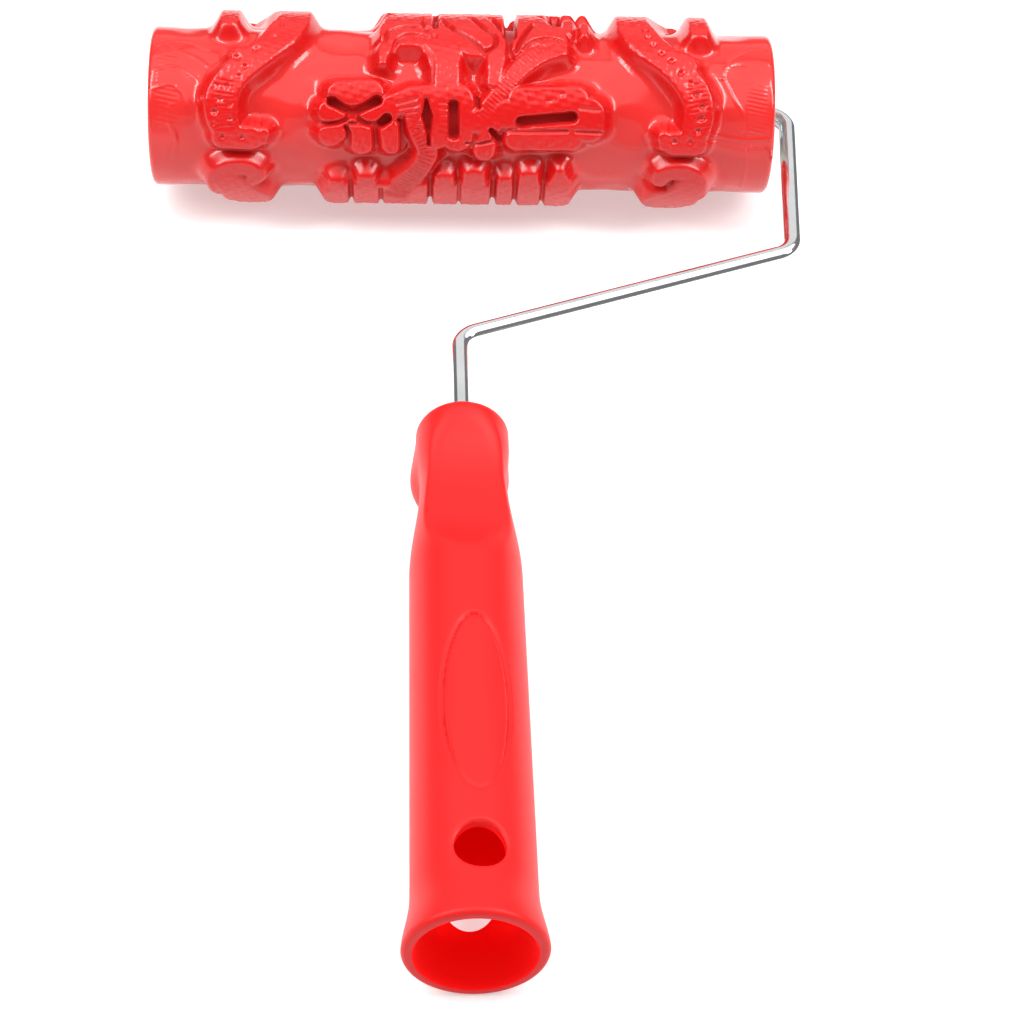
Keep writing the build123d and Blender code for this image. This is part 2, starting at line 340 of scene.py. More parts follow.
class Finish:
    """A material, built one node at a time around its shader."""

    def __init__(self, name, **constants):
        self.material = bpy.data.materials.new(name)
        self.material.use_nodes = True
        self.tree = self.material.node_tree
        self.shader = self.tree.nodes["Principled BSDF"]
        for socket, value in constants.items():
            self.shader.inputs[socket.replace("_", " ")].default_value = value

    def add(self, kind, options, inputs, output=0):
        """Add a node: its options first, then the values or links of its sockets."""
        node = self.tree.nodes.new(kind)
        for name, value in options.items():
            if name == "stops":
                self.set_stops(node.color_ramp.elements, value)
            else:
                setattr(node, name, value)
        for socket, value in inputs.items():
            self.join(value, node.inputs[socket])
        return Value(self, node.outputs[output])

    def set_stops(self, elements, stops):
        """Set a ramp's stops to (place, grey level) pairs."""
        while len(elements) < len(stops):
            elements.new(1.0)
        for element, (place, grey) in zip(elements, stops):
            element.position = place
            element.color = (grey, grey, grey, 1.0)

    def join(self, value, socket):
        """Link a value to a socket, or set the socket to a number or colour."""
        if isinstance(value, Value):
            self.tree.links.new(value.socket, socket)
        elif socket.type == "RGBA":
            socket.default_value = (*value, 1.0)
        else:
            socket.default_value = value

    def math(self, operation, *terms):
        """Arithmetic on values and numbers."""
        return self.add("ShaderNodeMath", {"operation": operation}, dict(enumerate(terms)))

    def mix(self, first, second, factor):
        """Colour between two colours."""
        factor_socket, first_socket, second_socket, colour_output = 0, 6, 7, 2
        return self.add(
            "ShaderNodeMix",
            {"data_type": "RGBA"},
            {factor_socket: factor, first_socket: first, second_socket: second},
            colour_output,
        )

    def place(self):
        """Place on the piece in metres, at rest."""
        return self.add("ShaderNodeTexCoord", {}, {}, "Object")

    def noise(self, scale, detail=3.0, roughness=0.55, stretch=None):
        """Even noise; scale is in waves per metre, and stretch squeezes it."""
        place = self.place()
        if stretch:
            place = self.add("ShaderNodeMapping", {}, {"Vector": place, "Scale": stretch})
        inputs = {"Vector": place, "Scale": scale, "Detail": detail, "Roughness": roughness}
        return self.add("ShaderNodeTexNoise", {}, inputs, "Fac")

    def ramp(self, value, *stops):
        """Value remapped through (place, level) stops."""
        return self.add("ShaderNodeValToRGB", {"stops": stops}, {"Fac": value}, "Color")

    def mark(self, name):
        """Value stored at the points of the mesh."""
        return self.add("ShaderNodeAttribute", {"attribute_name": name}, {}, "Fac")

    def stained(self, shade, share, value, start, end, most):
        """A colour that turns towards a share of itself as a value rises."""
        deeper = [share * channel for channel in shade]
        return self.mix(shade, deeper, self.ramp(value, (start, 0.0), (end, most)))

    def bump(self, height, strength, distance):
        """Normal from a height; distance is in metres."""
        inputs = {"Height": height, "Strength": strength, "Distance": distance}
        return self.add("ShaderNodeBump", {}, inputs, "Normal")

    def set(self, **inputs):
        """Join values to the shader's sockets."""
        for socket, value in inputs.items():
            self.join(value, self.shader.inputs[socket.replace("_", " ")])


def printed_rubber(sleeve):
    """Glossy soft rubber: clearer between the motifs, deeper on them, with painted shade in the
    slots and grooves.
    """
    finish = Finish("printed_rubber", IOR=1.47)
    relief = finish.mark("relief")
    slot = finish.mark("slot")
    cloud = finish.noise(45.0, detail=4.0)
    speck = finish.noise(900.0, detail=2.0)
    rising = finish.ramp(relief, (0.05, 0.0), (0.45, 1.0))
    body = finish.mix(sleeve.base_colour, sleeve.relief_colour, rising)
    deep = [0.72 * channel for channel in sleeve.relief_colour]
    body = finish.mix(body, deep, finish.ramp(cloud, (0.45, 0.0), (0.80, 0.35)))
    # Painted shade: the slots and grooves turn to the slot colour.
    body = finish.mix(body, sleeve.slot_shade_colour, slot)
    finish.set(
        Base_Color=body,
        Roughness=0.10 + 0.10 * cloud + 0.10 * rising + 0.60 * slot,
        Normal=finish.bump(speck + 2.0 * cloud, 0.12, 0.0002),
    )
    return finish.material


def moulded_red(handle):
    """Satin moulded plastic with a fine even spark texture, and a painted glow of brighter red
    inside the mouth and the socket.
    """
    finish = Finish("moulded_red", IOR=1.46, Specular_IOR_Level=0.22)
    inside = finish.mark("inside")
    cloud = finish.noise(30.0, detail=4.0)
    spark = finish.noise(2600.0, detail=2.0)
    flow = finish.noise(60.0, detail=3.0, stretch=(1.0, 0.12, 1.0))
    skin = finish.stained(handle.colour, 0.86, flow, 0.40, 0.75, 0.5)
    finish.set(
        # Painted light: inside, the colour is a brighter red and glows, for light that comes in
        # through the thin wall.
        Base_Color=finish.mix(skin, handle.bore_glow_colour, inside),
        Roughness=0.34 + 0.14 * cloud + 0.40 * inside,
        Emission_Color=finish.mix((0.0, 0.0, 0.0), handle.bore_glow_colour, inside),
        Emission_Strength=handle.bore_glow,
        Normal=finish.bump(spark + 1.5 * flow, 0.10, 0.00015),
    )
    return finish.material


def bright_chrome(rod):
    """Bright plate over drawn wire, with faint draw lines and tiny pits."""
    finish = Finish("bright_chrome", Metallic=1.0)
    cloud = finish.noise(80.0, detail=4.0)
    pit = finish.noise(2200.0, detail=2.0)
    finish.set(
        Base_Color=finish.stained(rod.chrome, 0.88, cloud, 0.40, 0.75, 1.0),
        Roughness=0.07 + 0.08 * cloud,
        Normal=finish.bump(pit, 0.08, 0.0001),
    )
    return finish.material


def plated_zinc(rod):
    """Turned steel under zinc plate: cloudy, with fine rings."""
    finish = Finish("plated_zinc", Metallic=1.0)
    cloud = finish.noise(300.0, detail=5.0)
    lathe = finish.noise(2500.0, detail=1.0, stretch=(1.0, 0.2, 0.2))
    finish.set(
        Base_Color=finish.stained(rod.zinc, 0.70, cloud, 0.35, 0.70, 1.0),
        Roughness=0.26 + 0.20 * cloud,
        Normal=finish.bump(lathe, 0.25, 0.0001),
    )
    return finish.material


def waxy_plastic(name, shade, roughness):
    """Plain moulded plastic, a little cloudy, with a fine grain."""
    finish = Finish(name, IOR=1.45)
    cloud = finish.noise(70.0, detail=4.0)
    grain = finish.noise(1800.0, detail=2.0)
    finish.set(
        Base_Color=finish.stained(shade, 0.82, cloud, 0.42, 0.78, 0.7),
        Roughness=roughness + 0.15 * cloud,
        Normal=finish.bump(grain, 0.15, 0.0001),
    )
    return finish.material


def bench_white(stage):
    """Matt white bench board with the faintest mottle."""
    finish = Finish("bench_white")
    cloud = finish.noise(3.0, detail=3.0)
    grey = [0.985 * channel for channel in stage.floor_colour]
    finish.set(
        Base_Color=finish.mix(stage.floor_colour, grey, cloud),
        Roughness=0.75 + 0.10 * cloud,
        Emission_Color=(1.0, 1.0, 1.0),
        Emission_Strength=stage.floor_glow,
    )
    return finish.material


# ---- pattern of the sleeve -------------------------------------------------------

# Places on the sleeve are (millimetres along the axle from its middle, degrees up
# from the handle's side). The pattern covers half a turn, and the other half is its
# mirror image, so that the motifs meet at both seams.
HALF_TURN = 180.0
LOWER_SEAM = -62.0
# How far out the sides of a bar run at the foot; more is softer.
FOOT = 5
# Millimetres: how far a bar's flat top stays inside its outline, the width of the
# finest scored lines, and the roughness of the raised tops.
TOP_EDGE = 0.9
FINE = 0.55
MOTTLE = 0.22
# Waves that make that roughness: direction in radians, distance in millimetres.
MOTTLE_WAVES = ((0.4, 2.3), (1.3, 1.9), (2.2, 2.9), (2.9, 1.5))
# The soft rubber between the motifs is a little uneven: how much it sinks, the
# distance between its hollows along the axle and around it, how much the rows of
# hollows slant, and how far from the sleeve's ends they fade, in millimetres.
SINK = 0.55
HOLLOWS = (23.0, 19.0)
HOLLOW_SLANTS = (0.35, 0.25)
SINK_END = 12.0
# Millimetres: height above which a place counts as raised, the width over which ribs
# fade at a bar's edge, and the soft edges of thin lines and of hatched patches.
RAISED = 1.0
RIB_EDGE = 1.2
LINE_EDGE = 0.7
PATCH_EDGE = 1.5
# Share of the full height above which fans are scored, height share of the curls,
# how far past its rim a dimple reaches, and the slant of the hatching.
FAN_FROM = 0.8
CURL_SHARE = 0.96
DIMPLE_REACH = 1.15
HATCH_SLANT = 0.25
# Grooves and slots: width of their walls in millimetres, and how strongly painted shade darkens
# them.
GROOVE_WALL = 1.0
GROOVE_SHADE = 0.5
SLOT_WALL = 0.8
SLOT_SHADE = 1.0
# Rows of points over the sleeve's rounded rims.
RIM_ROWS = 7

# Wide ribbons at both sides: place, width.
LEFT_RIBBON = [
    ((-47.5, 136), 9), ((-48.5, 112), 10), ((-50.5, 96), 11), ((-54, 83), 9.5),
    ((-59.5, 70), 8.5), ((-65.5, 58), 9), ((-68.3, 46), 9.8), ((-68.3, 34), 9.4),
    ((-66.5, 24), 8),
]
RIGHT_RIBBON = [
    ((48.5, 136), 9), ((49, 112), 10), ((50.5, 96), 11), ((54, 83), 10),
    ((59.5, 71), 9), ((64, 60), 9), ((67, 48), 9), ((67.3, 36), 8.6),
    ((66, 25), 8),
]
# Plain raised bars and petals: place and width at each end.
PLAIN = [
    # Heads and feet of the two ribbons, and the tabs beside them.
    ((-62.5, 72), 7.4, (-60, 68), 6),
    ((-67.8, 21), 7, (-60.5, 21), 7.4),
    ((-57.6, 21), 4.4, (-56.6, 24), 3.6),
    ((61, 21), 7.4, (66.5, 21), 7.2),
    ((58.8, 22), 6, (57.8, 25), 4),
    ((61.5, 74), 7.4, (64, 70), 7),
    ((-67.3, 104), 6.4, (-67.3, 133), 5.6),
    ((68.3, 98), 6.4, (68, 133), 5.6),
    # Bands that run under from the two curls.
    ((-66.5, -14), 10, (-63, -28), 13),
    ((-63, -28), 13, (-61, -32), 13),
    ((66, -12), 9, (63, -26), 13),
    ((63, -26), 13, (60.5, -29), 16),
    # Left flower and the arm from it to the plate.
    ((-35, 49), 7.6, (-26, 50), 7.6),
    ((-37.6, 38), 7.4, (-34, 36), 5),
    ((-37.6, 24), 7.2, (-33.5, 29.5), 5.6),
    ((-28.7, 18), 6.6, (-29, 30), 5.8),
    ((-20.3, 17.5), 5.4, (-21, 33), 6),
    ((-28, 36.5), 5.6, (-14, 46.5), 7.4),
    ((-14, 46.5), 7.6, (-6, 47.5), 8),
    # Plate with its two slots.
    ((-8, 25), 9.4, (-8, 45), 9.6),
    ((-1.5, 24), 9.4, (-1.5, 46), 9.8),
    ((4, 33), 7, (12, 37), 8.6),
    ((6.3, 14.5), 6.2, (7.2, 24), 5.8),
    # Right flower.
    ((16, 47.5), 6.8, (32.5, 48.5), 7),
    ((12.5, 38), 8.4, (35.5, 38.5), 10.4),
    ((15.5, 22.5), 6.8, (31, 23), 7),
    ((36, 37), 9, (36.2, 30.5), 8.8),
    # Two stems and the crown that they carry.
    ((-4.6, 50), 8, (-4.8, 70), 8.4),
    ((-4.8, 70), 8.4, (-5.5, 92), 16),
    ((8.8, 57), 4.4, (10, 84), 7),
    ((-14.5, 106), 17, (16, 106), 17),
    ((-20.3, 90), 7.4, (-20, 98), 8),
    ((3.4, 84), 11, (4, 92), 12),
    ((16, 82), 5.4, (20, 96), 9),
    ((23.5, 88), 7, (22, 100), 8),
    ((28, 84), 5, (26.5, 96), 6),
    ((29.8, 96), 3.8, (30.4, 108), 3.6),
    ((35, 94), 2.8, (35, 104), 2.8),
    # Leaves at the foot, grown together.
    ((-33, -26), 15, (25, -26), 15),
    ((-36, -13), 5, (-35.5, -34), 9),
    ((-27.5, -9), 5.6, (-27.5, -30), 9),
    ((-5, -8), 5.6, (-5, -30), 9),
    ((3.6, -5), 6.4, (3.6, -30), 9),
    ((12.6, -9), 4.6, (12.6, -30), 9),
    ((19.4, -5), 5.6, (19.8, -30), 9),
    ((28.4, 0), 2.6, (28.4, -12), 7),
    ((28.4, -12), 7, (27.5, -34), 9),
]
# Ribbed bars: places and widths, height share, distance between ribs, rib depth.
RIBBED = [
    (
        [((27.8, 79), 5), ((22, 76), 6.4), ((16.5, 66), 6), ((12, 54), 5.2),
         ((8, 44), 4.8), ((5, 36), 4.4)],
        1, 1.15, 0.40,
    ),
    (
        [((-14.8, 42), 4), ((-13.4, 29), 4.6), ((-10, 14), 5.6), ((-11.5, 4), 6),
         ((-14.5, -6), 7), ((-18, -18), 8.4), ((-20, -27), 9)],
        0.97, 1.25, 0.45,
    ),
]
# Curls that roll in on themselves, and the arch beside the stem: places and widths.
CURLS = [
    [((-69.5, -20), 7), ((-70.3, -10), 6.4), ((-67.5, -1.5), 6), ((-62, 0), 5.8),
     ((-58.8, -6), 5.4), ((-60.5, -11), 4.6)],
    [((67.8, -20), 7), ((67.8, -6), 6.2), ((64, 1), 5.8), ((58.8, -0.5), 5.6),
     ((57.4, -6.5), 4.6)],
    [((-23, 69), 2.6), ((-22.4, 78), 4.2), ((-19.4, 85.5), 6), ((-13.5, 88), 7.4),
     ((-8.4, 83), 7.6), ((-6, 72), 7.6)],
]
# Deep slots: place and width at each end, and the floor as a share of the height.
SLOTS = [
    ((-37.2, 44), 2.8, (-31.8, 37.5), 1.6, 0.20),
    ((-24.4, 45), 2.8, (-31.2, 37), 1.6, 0.20),
    ((-23.2, 31), 2.4, (-21.6, 34), 2.9, 0.20),
    ((-18.2, 33), 1.2, (-17.3, 31), 1, 0.45),
    ((-10.4, 46), 0.5, (-10.1, 36), 3, 0.20),
    ((-10.1, 36), 3, (-9.7, 27.5), 1.6, 0.20),
    ((-9.7, 27.5), 1.1, (-9.5, 18), 0.7, 0.45),
    ((-2.6, 43), 2.8, (-2.4, 25), 3, 0.18),
    ((16.8, 33.2), 3.2, (31.2, 36.5), 3.1, 0.18),
    ((8.2, 28), 1.2, (10.4, 21.5), 2, 0.30),
    ((4.2, 47), 1.4, (4.8, 41.5), 0.7, 0.30),
]
# Fine grooves between petals and leaves: places along each, width, floor share.
GROOVES = [
    ([(-31.8, 36.5), (-34.5, 32), (-41.5, 29.5)], 1.1, 0.60),
    ([(-31, 36), (-27.5, 31), (-23.5, 30)], 1.2, 0.55),
    ([(-33.2, 29), (-32.4, 24), (-32.6, 12)], 1.1, 0.55),
    ([(-32, 31), (-24, 31.5)], 0.9, 0.70),
    ([(-24.8, 29), (-24.6, 11)], 1.3, 0.45),
    ([(-17.2, 31), (-17, 12)], 1.5, 0.35),
    ([(-17.5, 40), (-12.5, 43)], 0.6, 0.85),
    ([(-18.5, 43), (-13, 46.5)], 0.6, 0.85),
    ([(1.2, 20), (4.5, 19.5), (10, 22.5)], 0.8, 0.75),
    ([(11.5, 29), (15, 27.5), (30, 28)], 0.8, 0.78),
    ([(32.5, 28), (40, 27.5)], 0.7, 0.80),
    ([(33.5, 42), (39, 41)], 0.6, 0.85),
    ([(-6.5, 108), (-3, 97), (0.5, 90), (3.4, 84), (6, 77)], 1.1, 0.62),
    ([(2, 112), (6, 98), (9, 90), (9.2, 82), (6.2, 76)], 1, 0.62),
    ([(8, 112), (11, 97), (13, 86), (13, 76)], 1.1, 0.60),
    ([(20.5, 104), (17, 88), (15.2, 78)], 1, 0.64),
    ([(17.5, 80), (20, 86), (24.5, 88.5), (28.5, 86)], 0.8, 0.70),
    ([(13.4, 90), (14, 128)], 3.4, 0.02),
    ([(26.8, 103), (27.4, 126)], 2.2, 0.10),
    ([(-22.6, 84), (-21, 93), (-16, 99), (-8, 97)], 1, 0.70),
    ([(-19.8, 78), (-18.6, 86), (-15, 90.5), (-9.5, 88)], 1, 0.72),
    ([(-8, 88), (-11, 97), (-12, 110)], 0.9, 0.72),
    ([(-8, 100), (-7.6, 126)], 1.5, 0.45),
    ([(-8.6, 56), (-8.8, 72), (-11, 80)], 0.8, 0.80),
    ([(-32, -8), (-32, -46)], 1.2, 0.60),
    ([(-23.3, -16), (-23.3, -46)], 1.1, 0.70),
    ([(-9, -6), (-9, -46)], 1.3, 0.50),
    ([(-0.6, -10), (-0.6, -46)], 0.9, 0.75),
    ([(9.3, -2), (9.3, -46)], 1.5, 0.50),
    ([(15.6, -2), (15.6, -46)], 1.2, 0.60),
    ([(23.6, -4), (23.6, -46)], 1.1, 0.65),
]
# Fine fan lines: start and end of the first and of the last, how many, and depth.
FANS = [
    ((-9, 52), (-0.5, 54), (-9.5, 80), (1, 74), 16, 0.20),
    ((-12, 84), (-14, 92), (-4, 84), (-3, 96), 8, 0.16),
    ((-17, 30), (-11.5, 28), (-17.5, 44), (-12, 45), 6, 0.25),
    ((-6.6, 28), (-4.4, 27), (-6.6, 44), (-4.4, 44), 6, 0.22),
    ((18, 51), (18.6, 45), (27, 52), (26.4, 46), 8, 0.18),
    ((-69.5, 27), (-65, 28), (-70.5, 56), (-65.5, 54), 12, 0.25),
    ((66, 27), (70.5, 29), (64, 56), (69, 58), 12, 0.25),
    ((-60, 74), (-54, 70), (-50, 104), (-45, 100), 10, 0.15),
]
# Round dimples: place, diameter, depth in millimetres.
DIMPLES = [
    ((-68.3, 22), 2.3, 0.8), ((-62.8, 22), 2.3, 0.8), ((60.8, 23), 2.4, 0.8),
    ((65.2, 23), 2.2, 0.7), ((-70.6, 37), 2.4, 0.9), ((-68.8, 44), 2, 0.6),
    ((-66, 41), 1.8, 0.5), ((-66, 33), 1.8, 0.6), ((-70.8, 30), 1.7, 0.5),
    ((-64.4, 70), 3, 0.7), ((-62, 64), 2, 0.6), ((-18, 33), 1.6, 0.7),
    ((-59, 76), 2.4, 0.6), ((-54, 86), 2.2, 0.5), ((-52, 98), 2.2, 0.5),
    ((-67, 52), 2.2, 0.6), ((-63.6, 58), 1.8, 0.5), ((-69.6, 52), 1.6, 0.4),
    ((52.6, 98), 2.6, 0.9), ((53.2, 91), 2.6, 0.9), ((54.6, 84), 2.6, 0.9),
    ((56.8, 77), 2.4, 0.9), ((59.6, 72), 2.4, 0.9), ((62.2, 64), 2.2, 0.8),
    ((64.9, 58), 2, 0.7), ((66.6, 51), 2.4, 0.9), ((68.4, 44), 2.6, 0.9),
    ((68.2, 37), 2.8, 1), ((67.4, 29.5), 2.2, 0.8), ((52.2, 105), 2.4, 0.7),
    ((-24, 44), 1.6, 0.4), ((28.5, 50), 1.8, 0.5), ((24.5, 46), 1.6, 0.4),
    ((3, 12), 2, 0.4), ((-14, 98), 2.4, 0.6), ((-4, 100), 3, 0.5),
]
# Thin raised lines of the two end bands: places along each, width, height in mm.
LINES = [
    ([(74.5, 66), (75.5, 74), (78.5, 79), (84, 80), (88, 78)], 0.9, 0.32),
    ([(74.8, 66), (77.5, 52), (80.5, 40), (80.8, 28)], 0.8, 0.28),
    ([(69.5, 28), (75.5, 23), (82, 21), (88, 22)], 1, 0.28),
    ([(76.5, 82), (79, 88), (84, 94), (88, 93)], 0.9, 0.22),
    ([(82, 30), (82.2, 2), (82, -30)], 0.7, 0.18),
    ([(-88, 88), (-83, 93), (-78, 92), (-73, 85)], 0.9, 0.22),
    ([(-88, 78), (-82, 82), (-77, 78), (-73, 70)], 0.9, 0.20),
    ([(-88, 66), (-82.5, 69), (-78, 63), (-75, 56)], 0.9, 0.20),
    ([(-88, 52), (-83.5, 55), (-80, 49), (-79, 40)], 0.9, 0.20),
    ([(-83.5, 40), (-84, 30), (-82, 16), (-83, 0)], 1, 0.20),
]
# Hatched patches of the end bands: from, to, line distance and height in mm.
HATCHES = [
    ((81, 24), (88, 62), 1.5, 0.20),
    ((-88, 24), (-81, 92), 1.7, 0.12),
    ((75, 60), (82, 78), 1.3, 0.10),
]


def path_through(places, widths, steps=6):
    """Smooth curve through places, with its widths, as Catmull-Rom spans."""
    knots = np.array([(*place, width) for place, width in zip(places, widths)], float)
    knots = np.vstack([2 * knots[0] - knots[1], knots, 2 * knots[-1] - knots[-2]])
    t = np.linspace(0.0, 1.0, steps, endpoint=False)[:, None]
    spans = []
    for a, b, c, d in zip(knots, knots[1:], knots[2:], knots[3:]):
        spans.append(
            0.5 * (2 * b + (c - a) * t + (2 * a - 5 * b + 4 * c - d) * t**2
                   + (3 * b - a - 3 * c + d) * t**3)
        )
    return np.vstack([*spans, knots[-2][None]])


def even_path(places, width):
    """Smooth curve of one width."""
    return path_through(places, [width] * len(places))


def straight_path(start, width1, end, width2):
    """Straight line with a width at each end."""
    return np.array([(*start, width1), (*end, width2)])


class Relief:
    """Height of half a turn of the sleeve, in millimetres above its base."""

    def __init__(self, x, degrees, radius, full, wall):
        self.x, self.degrees = np.meshgrid(x, degrees, indexing="ij")
        self.per_degree = radius * pi / HALF_TURN
        self.full = full
        self.wall = wall
        self.height = np.zeros_like(self.x)
        # The slot mark is painted shade in the slots and grooves, from 0 to 1.
        self.slot = np.zeros_like(self.x)

    def around(self, middle):
        """Place around the sleeve in millimetres, counted from an angle."""
        return (self.degrees - middle) * self.per_degree

    def bar(self, path):
        """How far outside a bar each point is, and how far along its middle line."""
        middle = path[:, 1].mean()
        reach = path[:, 2].max() / 2 + self.wall
        around = self.around(middle)
        line = np.column_stack([path[:, 0], (path[:, 1] - middle) * self.per_degree])
        low = line.min(axis=0) - reach
        high = line.max(axis=0) + reach
        near = (self.x > low[0]) & (self.x < high[0]) & (around > low[1]) & (around < high[1])
        x, y = self.x[near], around[near]
        outside = np.full(x.shape, reach)
        passed = np.zeros(x.shape)
        run = 0.0
        for (start, end), (w1, w2) in zip(pairwise(line), pairwise(path[:, 2])):
            step = end - start
            size = max(hypot(*step), 1e-6)
            t = ((x - start[0]) * step[0] + (y - start[1]) * step[1]) / size**2
            t = np.clip(t, 0.0, 1.0)
            gap = np.hypot(x - start[0] - t * step[0], y - start[1] - t * step[1])
            gap -= (w1 + (w2 - w1) * t) / 2
            closer = gap < outside
            outside = np.where(closer, gap, outside)
            passed = np.where(closer, run + t * size, passed)
            run += size
        return near, outside, passed

    def raise_bar(self, path, share=1.0):
        """Add a bar whose sides stand steep at the top and run out softly at the foot."""
        near, outside, passed = self.bar(path)
        fall = np.clip((outside + TOP_EDGE) / self.wall, 0.0, 1.0)
        top = self.full * share * (1.0 - fall) ** FOOT * (1.0 + FOOT * fall)
        self.height[near] = np.maximum(self.height[near], top)
        return near, outside, passed

    def rib(self, path, share, pitch, depth):
        """Add a bar with fine ribs across it."""
        near, outside, passed = self.raise_bar(path, share)
        inside = smooth_step(-outside / RIB_EDGE)
        wave = 0.5 - 0.5 * np.cos(2 * pi * passed / pitch)
        self.height[near] -= depth * wave * inside

    def carve(self, path, share, wall, painted_shade):
        """Cut a slot or groove down to a share of the full height, and mark painted shade along
        it.
        """
        near, outside, _ = self.bar(path)
        keep = smooth_step(0.5 + outside / wall)
        floor = np.minimum(self.height[near], self.full * share)
        self.height[near] = floor + (self.height[near] - floor) * keep
        # Paint shade into the cut, strongest on its floor.
        self.slot[near] = np.maximum(self.slot[near], painted_shade * (1.0 - keep))

    def dimple(self, place, diameter, depth):
        """Press a round dimple."""
        away = np.hypot(self.x - place[0], self.around(place[1]))
        pressed = smooth_step(DIMPLE_REACH - 2.0 * away / diameter)
        self.height -= depth * pressed * (self.height > RAISED)

    def fan(self, start, end, last_start, last_end, count, depth):
        """Score evenly spread fine lines, from the first to the last."""
        for t in np.linspace(0.0, 1.0, count):
            a = np.array(start) * (1 - t) + np.array(last_start) * t
            b = np.array(end) * (1 - t) + np.array(last_end) * t
            near, outside, _ = self.bar(straight_path(a, FINE, b, FINE))
            raised = self.height[near] > FAN_FROM * self.full
            self.height[near] -= depth * smooth_step(0.5 - outside / FINE) * raised

    def sink(self, depth, spacing):
        """Let the bare rubber sink softly in shallow hollows."""
        around = self.degrees * self.per_degree
        wave = np.sin(2 * pi * (self.x + HOLLOW_SLANTS[0] * around) / spacing[0])
        wave *= np.cos(2 * pi * (around - HOLLOW_SLANTS[1] * self.x) / spacing[1])
        # Bare at the base, and not from half the full height up.
        bare = 1.0 - smooth_step(self.height / self.full * 2)
        ends = smooth_step((self.x[-1, 0] - np.abs(self.x)) / SINK_END)
        self.height -= depth * (0.5 + 0.5 * wave) * bare * ends

    def mottle(self, depth):
        """Roughen the raised tops a little, the way a hand-cut master is."""
        around = self.degrees * self.per_degree
        wave = np.zeros_like(self.x)
        for turn, pitch in MOTTLE_WAVES:
            wave += np.sin((self.x * cos(turn) + around * sin(turn)) * 2 * pi / pitch)
        # The top quarter of the height counts as top.
        top = smooth_step(self.height / self.full * 4 - 3)
        self.height -= depth * (0.5 + wave / (2 * len(MOTTLE_WAVES))) * top

    def line(self, path, height):
        """Add a thin low line."""
        near, outside, _ = self.bar(path)
        self.height[near] += height * smooth_step(0.5 - outside / LINE_EDGE)

    def hatch(self, low, high, pitch, height):
        """Fill a patch of the base with fine slanting lines."""
        x1, degrees1 = low
        x2, degrees2 = high
        middle = (degrees1 + degrees2) / 2
        around = self.around(middle)
        half = (degrees2 - degrees1) / 2 * self.per_degree
        patch = smooth_step((self.x - x1) / PATCH_EDGE)
        patch *= smooth_step((x2 - self.x) / PATCH_EDGE)
        patch *= smooth_step((half - np.abs(around)) / PATCH_EDGE)
        wave = 0.5 + 0.5 * np.cos(2 * pi * (around + HATCH_SLANT * self.x) / pitch)
        self.height += height * wave * patch * (self.height < RAISED)


def carved_relief(x, degrees, radius, full, wall):
    """The whole pattern on a grid of places."""
    relief = Relief(x, degrees, radius, full, wall)
    for ribbon in (LEFT_RIBBON, RIGHT_RIBBON):
        relief.raise_bar(path_through(*zip(*ribbon)))
    for bar in PLAIN:
        relief.raise_bar(straight_path(*bar))
    for curl in CURLS:
        relief.raise_bar(path_through(*zip(*curl)), CURL_SHARE)
    for places, share, pitch, depth in RIBBED:
        relief.rib(path_through(*zip(*places)), share, pitch, depth)
    relief.mottle(MOTTLE)
    relief.sink(SINK, HOLLOWS)
    for fan in FANS:
        relief.fan(*fan)
    for places, width, share in GROOVES:
        relief.carve(even_path(places, width), share, GROOVE_WALL, GROOVE_SHADE)
    for *bar, share in SLOTS:
        relief.carve(straight_path(*bar), share, SLOT_WALL, SLOT_SHADE)
    for place, diameter, depth in DIMPLES:
        relief.dimple(place, diameter, depth)
    for places, width, height in LINES:
        relief.line(even_path(places, width), height)
    for low, high, pitch, height in HATCHES:
        relief.hatch(low, high, pitch, height)
    return relief


def with_mirror(values):
    """Half a turn of values, then its mirror image without the two shared seams."""
    return np.hstack([values, values[:, -2:0:-1]])


